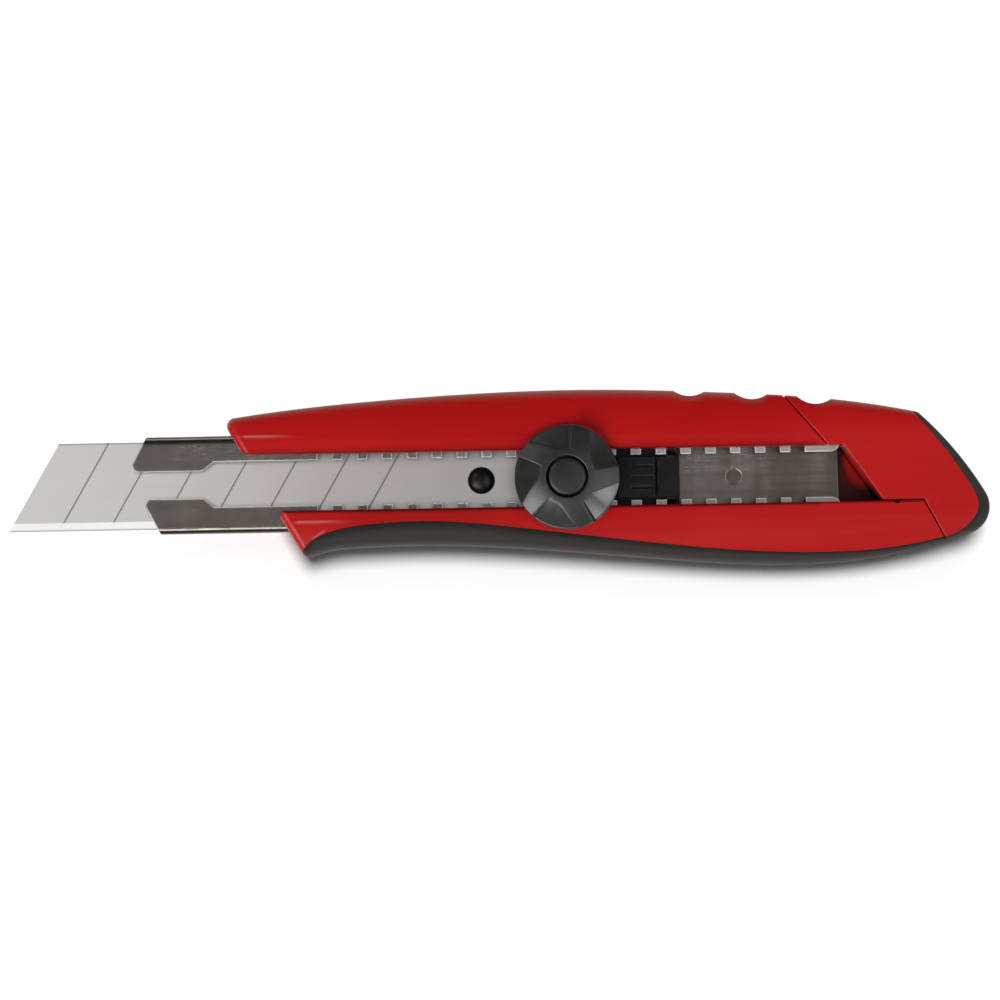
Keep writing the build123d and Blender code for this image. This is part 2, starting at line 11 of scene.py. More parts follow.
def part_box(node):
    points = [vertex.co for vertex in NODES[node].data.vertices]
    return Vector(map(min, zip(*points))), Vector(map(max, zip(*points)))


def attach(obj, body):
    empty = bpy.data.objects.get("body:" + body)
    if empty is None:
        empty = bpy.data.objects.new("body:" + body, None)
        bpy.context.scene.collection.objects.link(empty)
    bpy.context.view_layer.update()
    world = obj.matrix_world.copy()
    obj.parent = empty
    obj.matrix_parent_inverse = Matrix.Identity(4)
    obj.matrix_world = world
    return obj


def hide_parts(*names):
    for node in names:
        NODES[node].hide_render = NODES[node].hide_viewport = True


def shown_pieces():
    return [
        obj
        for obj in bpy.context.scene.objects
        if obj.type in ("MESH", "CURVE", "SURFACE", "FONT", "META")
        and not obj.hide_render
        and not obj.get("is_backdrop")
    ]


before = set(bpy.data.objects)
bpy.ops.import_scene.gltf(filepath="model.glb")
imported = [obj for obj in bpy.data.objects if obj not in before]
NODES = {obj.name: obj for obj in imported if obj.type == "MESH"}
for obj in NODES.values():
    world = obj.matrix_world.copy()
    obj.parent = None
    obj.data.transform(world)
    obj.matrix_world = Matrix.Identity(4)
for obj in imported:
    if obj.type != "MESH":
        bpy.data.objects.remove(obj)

bl_info = {
    "name": "Snap-off utility knife",
    "version": (1, 0, 0),
    "blender": (4, 5, 0),
    "location": "3D View > Sidebar > Knife",
    "description": "Dresses the packed parts of a snap-off utility knife and sets its studio stage",
    "category": "Object",
}

# Places that the handle's finish follows, in metres: a point in the plan and a direction from it
SEAM = ((0.0363, 0.0159), (0.764, 0.646))
POCKET_EDGE = ((0.0479, 0.0058), (-0.821, -0.57))
NOSE_EDGE = ((-0.0707, 0.0), (1.0, 0.61))
BEAK_RIDGE = ((-0.0593, -0.0108), (-0.563, 0.827))
BEAK_MIDDLE = ((-0.0593, -0.0108), (0.827, 0.563))
CREASE_CENTRE = 0.0007
CREASE_OFFSET = 0.0088
CREASE_HALF = 0.0006

# The slope behind the channel's pressed nose: its ends along X, its drop and the share that the finish shows
PRESS_FRONT, PRESS_REAR = -0.0866, -0.0776
PRESS_DROP = 0.0012
PRESS_SHOWN = 0.35

# The floor, as half its side, its points to a side and its depth below the knife, and the camera's aim
FLOOR_HALF = 3.0
FLOOR_POINTS = 9
FLOOR_DROP = 0.0001
AIM = (-0.02225, -0.00408, 0.009)


def srgb(*levels):
    """Linear colour of screen levels from 0 to 255."""
    share = np.array(levels) / 255
    curve = np.where(share > 0.04045, ((share + 0.055) / 1.055) ** 2.4, share / 12.92)
    return tuple(float(v) for v in curve)


def tint(colour, share, lift=0.0):
    """A colour scaled by a share, lifted by an even amount and held at white."""
    return tuple(min(1.0, share * v + lift) for v in colour)


def tone(colour, shares):
    """A colour with each channel scaled by its own share."""
    return tuple(share * v for share, v in zip(shares, colour))


# Node trees as expressions


class Shade:
    """A socket of a node tree. Arithmetic on it adds Math nodes, and node() adds any other node."""

    def __init__(self, tree, socket=None):
        self.tree = tree
        self.socket = socket

    def node(self, kind, settings=None, values=None, out=0):
        """Adds a node: its settings first, then the values or links of its inputs. Returns one output."""
        made = self.tree.nodes.new("ShaderNode" + kind)
        for name, value in (settings or {}).items():
            setattr(made, name, value)
        for name, value in (values or {}).items():
            if isinstance(value, Shade):
                self.tree.links.new(value.socket, made.inputs[name])
            else:
                made.inputs[name].default_value = value
        return Shade(self.tree, made.outputs[out] if made.outputs else None)

    def math(self, operation, first, second=0.0, clamp=False):
        """Adds a Math node."""
        return self.node("Math", {"operation": operation, "use_clamp": clamp}, {0: first, 1: second})

    def __add__(self, other):
        return self.math("ADD", self, other)

    __radd__ = __add__

    def __sub__(self, other):
        return self.math("SUBTRACT", self, other)

    def __rsub__(self, other):
        return self.math("SUBTRACT", other, self)

    def __mul__(self, other):
        return self.math("MULTIPLY", self, other)

    __rmul__ = __mul__

    def __pow__(self, other):
        return self.math("POWER", self, other)

    def __rpow__(self, other):
        return self.math("POWER", other, self)

    def size(self):
        """The value without its sign."""
        return self.math("ABSOLUTE", self)

    def clip(self):
        """The value held between 0 and 1."""
        return self.math("ADD", self, 0.0, clamp=True)

    def step(self, low, high):
        """A smooth rise from 0 at low to 1 at high."""
        return self.node(
            "MapRange",
            {"interpolation_type": "SMOOTHSTEP"},
            {"Value": self, "From Min": low, "From Max": high},
        )

    def blend(self, first, second):
        """first where this value is 0 and second where it is 1, as colours."""
        values = {0: self, 6: first, 7: second}
        values = {k: (*v, 1.0) if isinstance(v, tuple) else v for k, v in values.items()}
        return self.node("Mix", {"data_type": "RGBA"}, values, out=2)


class Finish:
    """A material whose nodes grow from its own object coordinates."""

    def __init__(self, name, **even):
        self.material = bpy.data.materials.new(name)
        self.material.use_nodes = True
        tree = self.material.node_tree
        self.shader = tree.nodes["Principled BSDF"]
        self.root = Shade(tree)
        self.place = self.root.node("TexCoord", out="Object")
        for socket, value in even.items():
            self.shader.inputs[socket.replace("_", " ")].default_value = value

    def stretched(self, scale, turn=0.0):
        """Object coordinates turned about Z and scaled, for grain that runs one way."""
        kind = {"vector_type": "POINT"}
        swung = self.root.node("Mapping", kind, {"Vector": self.place, "Rotation": (0, 0, turn)})
        return self.root.node("Mapping", kind, {"Vector": swung, "Scale": scale})

    def noise(self, scale, detail=2.0, rough=0.5, where=None):
        """Cloudy noise from 0 to 1, with scale bumps to the metre."""
        values = {"Vector": where or self.place, "Scale": scale, "Detail": detail, "Roughness": rough}
        return self.root.node("TexNoise", {"noise_dimensions": "3D"}, values)

    def rounded(self, radius):
        """A normal that rounds the edges by a radius in metres."""
        return self.root.node("Bevel", {"samples": 6}, {"Radius": radius})

    def edge(self, radius):
        """A mask of the edges, highest where rounding them by the radius turns the surface most."""
        sides = {0: self.rounded(radius), 1: self.root.node("NewGeometry", out="Normal")}
        same = self.root.node("VectorMath", {"operation": "DOT_PRODUCT"}, sides, out="Value")
        return ((1 - same) * 5).clip()

    def facing(self, axis, normal=None):
        """How squarely the surface, or a rounded normal, faces along an axis, either way, from 0 to 1."""
        sides = {0: normal or self.root.node("NewGeometry", out="Normal"), 1: axis}
        return self.root.node("VectorMath", {"operation": "DOT_PRODUCT"}, sides, out="Value").size()

    def axis(self, name):
        """One of the object coordinates, in metres."""
        return self.root.node("SeparateXYZ", None, {"Vector": self.place}, out=name)

    def beyond(self, point, direction):
        """How far the surface lies past a point in the plan, along a direction in the plan."""
        return direction[0] * (self.axis("X") - point[0]) + direction[1] * (self.axis("Y") - point[1])

    def relief(self, height, depth, normal, strength=1.0):
        """A bump of that depth in metres over a rounded normal."""
        values = {"Height": height, "Distance": depth, "Strength": strength, "Normal": normal}
        return self.root.node("Bump", None, values)

    def feed(self, **sockets):
        """Links what varies over the surface to the shader's sockets."""
        for socket, shade in sockets.items():
            self.material.node_tree.links.new(shade.socket, self.shader.inputs[socket.replace("_", " ")])
        return self.material


def wear(finish, node):
    """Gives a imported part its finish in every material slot."""
    for slot in NODES[node].material_slots:
        slot.material = finish


# Surfaces


def skin(name, points, finish, body, replaced, closed=True):
    """A mesh from a grid of points, with rows along the section and columns round the axis. A closed section
    joins its last row to its first, and an open one starts and ends on the axis."""
    rows, columns = points.shape[:2]
    index = np.arange(rows * columns).reshape(rows, columns)
    here, below = (index, np.roll(index, -1, axis=0)) if closed else (index[:-1], index[1:])
    corners = [here, below, np.roll(below, -1, axis=1), np.roll(here, -1, axis=1)]
    faces = np.stack(corners, axis=-1).reshape(-1, 4)
    mesh = bpy.data.meshes.new(name)
    mesh.from_pydata(points.reshape(-1, 3).tolist(), [], faces.tolist())
    work = bmesh.new()
    work.from_mesh(mesh)
    bmesh.ops.remove_doubles(work, verts=work.verts, dist=1e-7)
    bmesh.ops.recalc_face_normals(work, faces=work.faces)
    work.to_mesh(mesh)
    work.free()
    mesh.polygons.foreach_set("use_smooth", np.ones(len(mesh.polygons), bool))
    mesh.materials.append(finish)
    piece = bpy.data.objects.new(name, mesh)
    bpy.context.scene.collection.objects.link(piece)
    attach(piece, body)
    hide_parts(replaced)


def eased(corners, rounding, steps=5):
    """A closed profile with eased corners: each corner becomes the parabola that leaves one side and
    meets the next at the rounding's distance from the corner."""
    here = np.array(corners, float)
    before = np.roll(here, 1, axis=0) - here
    after = np.roll(here, -1, axis=0) - here
    reach = np.array(rounding, float)[:, None]
    start = here + before / np.linalg.norm(before, axis=1, keepdims=True) * reach
    end = here + after / np.linalg.norm(after, axis=1, keepdims=True) * reach
    t = np.linspace(0, 1, steps)[None, :, None]
    curve = (1 - t) ** 2 * start[:, None] + 2 * t * (1 - t) * here[:, None] + t**2 * end[:, None]
    return curve.reshape(-1, 2)


def turned(profile, centre, columns=96):
    """Points of a turned piece: the profile's radius goes round the axis, and its height stays."""
    angle = np.linspace(0, 2 * np.pi, columns, endpoint=False)
    radius, height = profile[:, 0, None], profile[:, 1, None]
    x = centre[0] + radius * np.cos(angle)
    y = centre[1] + radius * np.sin(angle)
    return np.stack([x, y, height + 0 * angle], axis=-1)


def wheel_points(look, centre, radius, low, high):
    """Points of the wheel, a section carried round its axis. Its top falls from the recess to the rim with a
    power of the way out. In each scoop it falls further, by the scoop's fall for each unit outside the
    scoop's inner edge. That edge keeps its radius for the first part of the span and then sweeps out to the
    rim, and a steep wall closes the scoop at its other end. Each scoop also draws the rim in by a half wave
    over its span."""
    bottom, rim, seat = low + 0.0008, low + 0.004, high - 0.0015
    recess, bore, hub = 0.00425, 0.00325, 0.0047
    ease, lip, chamfer, blur = 0.0003, 0.0001, 0.0006, 0.00018
    wall_start, wall_span, sweep_start = -0.03, 0.042, 0.38
    dome_power, sweep_power, rim_wave = 1.6, 1.7, 0.0001
    sector = 2 * math.pi / look.scoops
    steep = np.linspace(wall_start, wall_start + wall_span, 9)
    share = np.concatenate([steep, np.linspace(0.03, 1.02, 46), np.linspace(1.06, 1.3, 10)])
    share = share[share < sector / look.scoop_span - 0.035]
    angle = (look.scoop_turn + share * look.scoop_span + sector * np.arange(look.scoops)[:, None]).ravel()
    share = np.tile(share, look.scoops)
    wall = np.clip((share - wall_start) / wall_span, 0, 1)
    wall = wall * wall * (3 - 2 * wall)
    sweep = np.clip((share - sweep_start) / (1 - sweep_start), 0, None)
    inner = look.scoop_start + (radius - look.scoop_start) * sweep**sweep_power
    girth = radius - rim_wave * np.sin(np.pi * np.clip(share, 0, 1))
    reach = recess + lip + (girth - ease - recess - lip) * np.linspace(0, 1, 44)[:, None]
    past = reach - inner
    fall = look.scoop_fall * 0.5 * (past + np.hypot(past, blur))
    top = high - (high - rim) * ((reach - recess) / (radius - recess)) ** dome_power - wall * fall
    edge = top[-1]
    bend = np.linspace(0.25, 1, 4)[:, None] * math.pi / 2
    drop = np.linspace(0.15, 1, 6)[:, None]
    section = [
        (bore, seat),
        (recess, seat),
        (recess, high - lip),
        (reach, top),
        (girth - ease * (1 - np.sin(bend)), edge - ease * (1 - np.cos(bend))),
        (girth, (edge - ease) * (1 - drop) + (bottom + chamfer) * drop),
        (girth - chamfer, bottom),
        (hub, bottom),
        (hub, low),
        (bore, low),
    ]
    ring = np.zeros((1, len(angle)))
    rows = [np.broadcast_arrays(out + ring, up + ring) for out, up in section]
    out, up = (np.concatenate(parts) for parts in zip(*rows))
    return np.stack([centre[0] + out * np.cos(angle), centre[1] + out * np.sin(angle), up], axis=-1)


# Finishes


def nose_marks(finish):
    """Masks of the crease along both arms at the nose, which fades towards the rear, and of a glint on the
    beak."""
    beside = (finish.axis("Y") - CREASE_CENTRE).size()
    behind = finish.beyond(*NOSE_EDGE)
    rise = beside.step(CREASE_OFFSET - CREASE_HALF, CREASE_OFFSET)
    fall = beside.step(CREASE_OFFSET + CREASE_HALF, CREASE_OFFSET)
    crease = rise * fall * behind.step(0.0008, 0.0028) * behind.step(0.018, 0.006)
    beak = finish.beyond(*BEAK_RIDGE).size().step(0.0003, 0.0001)
    return crease, beak * finish.beyond(*BEAK_MIDDLE).size().step(0.002, 0.001)


def painted_handle_shade(finish):
    """Masks of the painted shade along the slot, beside the belly and on the narrow lower arm, and of the
    painted shade in the tail's pocket, which is deepest away from the cap's slanted edge, beside the lower
    arm and behind the channel."""
    along, up, height = (finish.axis(letter) for letter in "XYZ")
    # Painted shade: the slot's edges, the red beside the belly and the narrow lower arm are darkened.
    slot = up.size().step(0.0071, 0.0057) * along.step(0.044, 0.042)
    belly = up.step(-0.008, -0.013)
    thin = up.step(-0.005, -0.006) * along.step(-0.058, -0.05) * along.step(-0.015, -0.03)
    # Painted shade in the tail's pocket, deepest away from the slanted edge, beside the lower arm and behind
    # the channel.
    pocket = height.step(0.0125, 0.011) * along.step(0.0462, 0.0472) * along.step(0.06, 0.057)
    depths = finish.beyond(*POCKET_EDGE).step(0.001, 0.0038) + up.step(-0.0015, -0.0045)
    depths = depths + along.step(0.0497, 0.0478)
    return 0.75 * slot + 0.12 * belly + 0.22 * thin, 0.9 * pocket * (0.3 + depths).clip()


def red_shell(look):
    """Satin moulded plastic: faint flow marks along the handle, fine grain, edges worn paler at random and
    painted brighter on the end cap as a painted highlight, painted shade along the slot and the grip and in
    the pocket at the tail, and a grey-brown painted sheen and shade on the spine. The spine is rounded over a
    wide band, and the slot and the seams over a narrow one. A low crease runs along both arms at the nose,
    with a painted highlight along it and a painted glint on the beak."""
    finish = Finish("red_shell_finish", Specular_IOR_Level=0.24)
    red = tuple(look.red)
    clouds = finish.noise(38, 3)
    flow = finish.noise(1, 3, 0.6, finish.stretched((45, 620, 620)))
    grain = finish.noise(2600, 2)
    wear_and_glint = finish.noise(420, 4, 0.7)
    along, up, height = (finish.axis(letter) for letter in "XYZ")
    off_seam = finish.beyond(*SEAM).size()
    spine = up.step(0.010, 0.013) * height.step(0.005, 0.0085) * off_seam.step(0.001, 0.005)
    normal = finish.rounded(look.edge_round + look.spine_round * spine)
    edge = finish.edge(look.edge_round)
    level = finish.facing((0, 0, 1), normal)
    # Painted sheen and shade: a grey-brown band where the rounded spine turns away from the top.
    dust_and_sheen = level.step(0.87, 0.5) * level.step(0.05, 0.3) * spine
    # Edges worn paler at random, and the end cap's edges painted brighter as a painted highlight.
    worn_and_lit_edges = 0.3 * wear_and_glint.step(0.5, 0.75) + 0.4 * along.step(0.041, 0.045)
    painted_shade, pocket = painted_handle_shade(finish)
    crease, beak = nose_marks(finish)
    base = (0.75 * clouds + 0.25 * flow).step(0.25, 0.75).blend(tint(red, 0.93), tint(red, 1.06, 0.001))
    base = (edge * worn_and_lit_edges * height.step(0.0115, 0.0135)).blend(base, tint(red, 0.8, 0.08))
    # Painted shade along the slot, beside the belly and on the narrow lower arm.
    base = painted_shade.blend(base, tint(red, 0.3))
    # Painted shade in the tail's pocket, nearly black.
    base = pocket.blend(base, tint(red, 0.05))
    # The spine's painted sheen and shade.
    base = (0.75 * dust_and_sheen).blend(base, tuple(look.dust_and_sheen))
    # Painted highlight along the crease at the nose and a painted glint on the beak.
    base = (0.5 * crease**3 + 0.35 * beak).blend(base, tint(red, 0.7, 0.25))
    gloss = look.roughness + 0.1 * (clouds - 0.5) + 0.08 * (flow - 0.5) + 0.05 * (grain - 0.5) - 0.06 * edge
    ridge = finish.relief(crease, look.crease, normal)
    bump = finish.relief(0.85 * grain + 0.15 * flow, look.grain, ridge, 0.5)
    return finish.feed(Base_Color=base, Roughness=gloss, Normal=bump)


def grey_rubber(look):
    """Soft moulded rubber: fine pebbled skin, dusty patches, smoother edges painted paler as a painted
    highlight, and sides painted paler as painted light.
    """
    finish = Finish("grey_rubber_finish", Specular_IOR_Level=0.35)
    grey = tuple(look.grey)
    patches = finish.noise(70, 4, 0.6)
    dust_and_sheen = finish.noise(1300, 3, 0.7)
    cells = {"Vector": finish.place, "Scale": 2300}
    pebbles = finish.root.node("TexVoronoi", {"feature": "SMOOTH_F1"}, cells)
    normal = finish.rounded(look.edge_round)
    edge = finish.edge(0.0003)
    base = (0.75 * patches + 0.25 * dust_and_sheen).step(0.35, 0.75).blend(grey, tint(grey, 1.2, 0.003))
    # Edges painted paler as a painted highlight.
    base = (0.35 * edge).blend(base, tint(grey, 1.6))
    # Sides facing along Y painted paler as painted light.
    base = (0.7 * finish.facing((0, 1, 0)).step(0.3, 0.85)).blend(base, tint(grey, 3.0))
    gloss = look.roughness + 0.16 * (patches - 0.5) + 0.1 * (dust_and_sheen - 0.5) - 0.1 * edge
    bump = finish.relief(0.6 * pebbles + 0.4 * dust_and_sheen, look.grain, normal, 0.6)
    return finish.feed(Base_Color=base, Roughness=gloss, Normal=bump)


def rolled_steel(name, colour, roughness, edge_round):
    """Rolled strip: hairlines along the channel, oily patches, brown streaks across its floor, sheared edges
    and teeth painted brighter and less metallic as painted highlights, a darker nose, and folds painted
    nearly black as a painted reflection of dark surroundings. A bump makes the slope behind the pressed nose
    gentler and eases it in at both ends."""
    finish = Finish(name)
    hairs = finish.noise(1, 3, 0.6, finish.stretched((70, 5200, 5200)))
    bands = finish.noise(1, 2, 0.5, finish.stretched((18, 700, 700)))
    stains = finish.noise(120, 5, 0.65)
    normal = finish.rounded(edge_round)
    along, up, height = (finish.axis(letter) for letter in "XYZ")
    edge = (1.6 * finish.edge(1.5 * edge_round)).clip() * height.step(0.0072, 0.0085)
    teeth = along.step(-0.055, 0.005) * height.step(0.0095, 0.0105)
    nose = along.step(-0.045, -0.06)
    streaks = finish.noise(1, 3, 0.6, finish.stretched((240, 25, 25))) + 0.25 * along.step(0.02, 0.045)
    floor = height.step(0.0085, 0.0072)
    low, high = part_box("blade_channel")
    fold = up.step(high.y - 0.0019, high.y - 0.0013) + up.step(low.y + 0.0009, low.y + 0.0006)
    oiled = tone(colour, (0.78, 0.7, 0.63))
    brown = tone(colour, (0.5, 0.44, 0.38))
    base = (0.5 * bands + 0.5 * stains).step(0.3, 0.7).blend(oiled, tuple(colour))
    base = (0.3 * hairs.step(0.45, 0.75)).blend(base, tint(colour, 1.25))
    base = (0.7 * floor * streaks.step(0.4, 0.8) + 0.15 * nose).blend(base, brown)
    # Painted highlight: the teeth painted brighter and less metallic.
    base = (0.7 * teeth).blend(base, tint(colour, 0.5, 0.4))
    # Painted highlight: sheared edges painted bright and less metallic.
    base = edge.blend(base, tint(colour, 0.35, 0.6))
    # Folds painted nearly black as a painted reflection of dark surroundings.
    base = (0.85 * fold).blend(base, tint(colour, 0.06))
    gloss = roughness + 0.12 * (hairs - 0.5) + 0.14 * (stains - 0.5) + 0.1 * edge
    slope = ((along - PRESS_FRONT) * (1 / (PRESS_REAR - PRESS_FRONT))).clip()
    bend = PRESS_SHOWN * along.step(PRESS_FRONT, PRESS_REAR) - slope
    pressed = finish.relief(bend, PRESS_DROP, normal, finish.facing((0, 0, 1)))
    bump = finish.relief(hairs, 0.000006, pressed, 0.25)
    metal = (1 - 0.7 * edge - 0.35 * teeth).clip()
    return finish.feed(Base_Color=base, Metallic=metal, Roughness=gloss, Normal=bump)


def ground_blade(look):
    """Ground blade: lines along its length on the flats, lines across on the honed bevel, which is painted
    paler as its own finish and as a painted highlight, painted shade in the scores, darker lines along both
    long edges, and painted shade that deepens towards the tail."""
    finish = Finish("blade_finish", Metallic=0.35)
    steel = tuple(look.steel)
    low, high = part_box("blade")
    rise = finish.axis("Y")
    bevel = rise.step(low.y + look.bevel + 0.0001, low.y + look.bevel - 0.0001)
    score = finish.axis("Z").step(high.z - 0.00002, high.z - 0.00009) * (1 - bevel)
    along = finish.noise(1, 3, 0.6, finish.stretched((90, 6000, 6000)))
    across = finish.noise(1, 2, 0.6, finish.stretched((7000, 140, 140), math.radians(8)))
    lines = along * (1 - bevel) + across * bevel
    clouds = finish.noise(45, 3)
    spots = finish.noise(900, 4, 0.7)
    normal = finish.rounded(0.00006)
    edge = (rise.step(low.y + 0.0004, low.y + 0.0002) + rise.step(high.y - 0.0004, high.y - 0.0002)).clip()
    tail_shade = finish.axis("X").step(low.x, high.x)
    base = (0.6 * clouds + 0.4 * lines).step(0.3, 0.7).blend(tint(steel, 0.95), steel)
    base = (0.2 * spots.step(0.66, 0.8)).blend(base, tint(steel, 0.7))
    # Painted shade that deepens towards the tail.
    base = (0.62 * tail_shade).blend(base, tint(steel, 0.3))
    # The honed bevel painted paler, partly its own finish and partly a painted highlight.
    base = ((0.95 - 0.25 * tail_shade) * bevel).blend(base, tint(steel, 1.3, 0.12))
    base = (0.6 * edge).blend(base, tint(steel, 0.3))
    # Painted shade in the scores.
    base = (0.32 * score).blend(base, tint(steel, 0.25))
    gloss = look.roughness + 0.1 * (lines - 0.5) + 0.08 * (clouds - 0.5) - 0.06 * bevel + 0.3 * score
    bump = finish.relief(lines, 0.000004, normal, 0.3)
    return finish.feed(Base_Color=base, Roughness=gloss, Normal=bump)


def black_plastic(name, colour, roughness, edge_round, sheen, wear_and_glint):
    """Satin black moulding: spark-eroded grain, finger shine, and edges painted paler, partly by wear and
    partly as painted highlights.
    """
    finish = Finish(name, Specular_IOR_Level=sheen)
    grain = finish.noise(3000, 2)
    clouds = finish.noise(160, 4, 0.6)
    swirls = finish.noise(700, 4, 0.7)
    normal = finish.rounded(edge_round)
    edge = finish.edge(edge_round)
    base = (0.6 * clouds + 0.4 * swirls).step(0.35, 0.75).blend(tuple(colour), tint(colour, 1.4))
    # Edges painted paler: partly wear, partly painted highlights.
    base = (0.7 * edge * swirls.step(0.3, 0.6)).blend(base, tint(colour, 3, wear_and_glint))
    gloss = roughness + 0.2 * (clouds - 0.5) + 0.1 * (swirls - 0.5) - 0.08 * edge
    bump = finish.relief(grain, 0.000012, normal, 0.4)
    return finish.feed(Base_Color=base, Roughness=gloss, Normal=bump)


def turned_brass(look, centre):
    """Turned brass: fine rings round the bore over a slight tarnish."""
    finish = Finish("insert_brass_finish", Metallic=1.0)
    brass = tuple(look.brass)
    across = finish.axis("X") - centre[0]
    up = finish.axis("Y") - centre[1]
    reach = (across**2 + up**2) ** 0.5
    rings = reach.math("SINE", 40000 * reach)
    tarnish = finish.noise(900, 4, 0.6)
    edge = finish.edge(0.0001)
    base = tarnish.step(0.35, 0.7).blend(brass, tint(brass, 0.6))
    gloss = 0.32 + 0.15 * (tarnish - 0.5) - 0.05 * edge
    bump = finish.relief(rings, 0.000004, finish.rounded(0.0001), 0.4)
    return finish.feed(Base_Color=base, Roughness=gloss, Normal=bump)


# Stage


def soft_lamp(name, source, strength, spread, lit, shading=None):
    """A far lamp as wide as the spread in degrees, that shines from one direction on the lit objects alone.
    Its shadows come from the shading objects, or from everything where none are named."""
    lamp = bpy.data.lights.new(name, "SUN")
    lamp.energy = strength
    lamp.angle = math.radians(spread)
    holder = bpy.data.objects.new(name, lamp)
    holder.rotation_mode = "QUATERNION"
    holder.rotation_quaternion = Vector(source).to_track_quat("Z", "Y")
    bpy.context.scene.collection.objects.link(holder)
    holder.light_linking.receiver_collection = group(name + "_lights", lit)
    if shading:
        holder.light_linking.blocker_collection = group(name + "_shades", shading)


def group(name, objects):
    """A collection of the objects, outside the scene."""
    made = bpy.data.collections.new(name)
    for one in objects:
        made.objects.link(one)
    return made


def floor_sheet(scene, look):
    """A level square of floor just under the knife, as a grid of points over its two sides."""
    side = np.linspace(-FLOOR_HALF, FLOOR_HALF, FLOOR_POINTS)
    x, y = np.meshgrid(side, side, indexing="ij")
    points = np.stack([x, y, np.full_like(x, -FLOOR_DROP)], axis=-1).reshape(-1, 3)
    index = np.arange(FLOOR_POINTS**2).reshape(FLOOR_POINTS, FLOOR_POINTS)
    corners = [index[:-1, :-1], index[1:, :-1], index[1:, 1:], index[:-1, 1:]]
    mesh = bpy.data.meshes.new("floor")
    mesh.from_pydata(points.tolist(), [], np.stack(corners, axis=-1).reshape(-1, 4).tolist())
    mesh.materials.append(pale_floor(look))
    floor = bpy.data.objects.new("floor", mesh)
    scene.collection.objects.link(floor)
    return floor


def pale_floor(look):
    """A pale matt floor with a faint unevenness."""
    material = bpy.data.materials.new("floor_finish")
    material.use_nodes = True
    tree = material.node_tree
    tree.nodes.clear()
    root = Shade(tree)
    cloud = root.node("TexNoise", None, {"Vector": root.node("TexCoord", out="Object"), "Scale": 30})
    colour = (0.03 * cloud).blend(tuple(look.floor), tint(look.floor, 0.9))
    matt = root.node("BsdfDiffuse", None, {"Color": colour})
    root.node("OutputMaterial", None, {"Surface": matt})
    return material


def set_camera(scene, look):
    """A camera above the knife, leaned towards the belly and rolled."""
    right = Vector((math.cos(look.roll), -math.sin(look.roll), 0))
    up = Vector((math.sin(look.roll), math.cos(look.roll), 0))
    back = Vector((0, 0, 1)) * math.cos(look.lean) - up * math.sin(look.lean)
    up = back.cross(right)
    lens = bpy.data.cameras.new("camera")
    lens.lens = look.lens
    lens.sensor_width = 36
    camera = bpy.data.objects.new("camera", lens)
    place = Vector(AIM) + back * look.distance
    camera.matrix_world = Matrix.Translation(place) @ Matrix((right, up, back)).transposed().to_4x4()
    scene.collection.objects.link(camera)
    scene.camera = camera


def studio_world(scene, look):
    """An even, low fill from all sides."""
    world = bpy.data.worlds.new("studio")
    world.use_nodes = True
    world.node_tree.nodes.clear()
    root = Shade(world.node_tree)
    light = root.node("Background", None, {"Color": (1, 1, 1, 1), "Strength": look.sky})
    root.node("OutputWorld", None, {"Surface": light})
    scene.world = world


# What a user would change


class HandleLook(PropertyGroup):
    """Red shell of the handle and its end cap."""

    red: FloatVectorProperty(
        name="Red", description="Colour of the moulded shell", subtype="COLOR", size=3, min=0, max=1,
        default=srgb(178, 14, 14),
    )
    roughness: FloatProperty(
        name="Roughness", description="Roughness of the shell", subtype="FACTOR", default=0.3, min=0, max=1
    )
    grain: FloatProperty(
        name="Grain", description="Depth of the moulded grain", subtype="DISTANCE", default=0.000012,
        precision=6,
    )
    edge_round: FloatProperty(
        name="Edge rounding", description="Radius that softens the shell's edges", subtype="DISTANCE",
        default=0.0003, precision=5,
    )
    # Colour of the painted sheen and shade on the spine's rounding.
    dust_and_sheen: FloatVectorProperty(
        name="Dust", description="Colour of the dust on the spine", subtype="COLOR", size=3, min=0, max=1,
        default=(0.3, 0.2, 0.15),
    )
    crease: FloatProperty(
        name="Crease", description="Height of the crease along the nose", subtype="DISTANCE", default=0.00012,
        precision=5,
    )
    spine_round: FloatProperty(
        name="Spine rounding", description="Further radius that softens the spine", subtype="DISTANCE",
        default=0.0035, precision=4,
    )


class GripLook(PropertyGroup):
    """Soft grip along the belly and round the tail."""

    grey: FloatVectorProperty(
        name="Grey", description="Colour of the rubber", subtype="COLOR", size=3, min=0, max=1,
        default=srgb(38, 34, 32),
    )
    roughness: FloatProperty(
        name="Roughness", description="Roughness of the rubber", subtype="FACTOR", default=0.62, min=0, max=1
    )
    grain: FloatProperty(
        name="Pebble", description="Depth of the pebbled skin", subtype="DISTANCE", default=0.00003,
        precision=6,
    )
    edge_round: FloatProperty(
        name="Edge rounding", description="Radius that softens the grip's edges", subtype="DISTANCE",
        default=0.004, precision=4,
    )


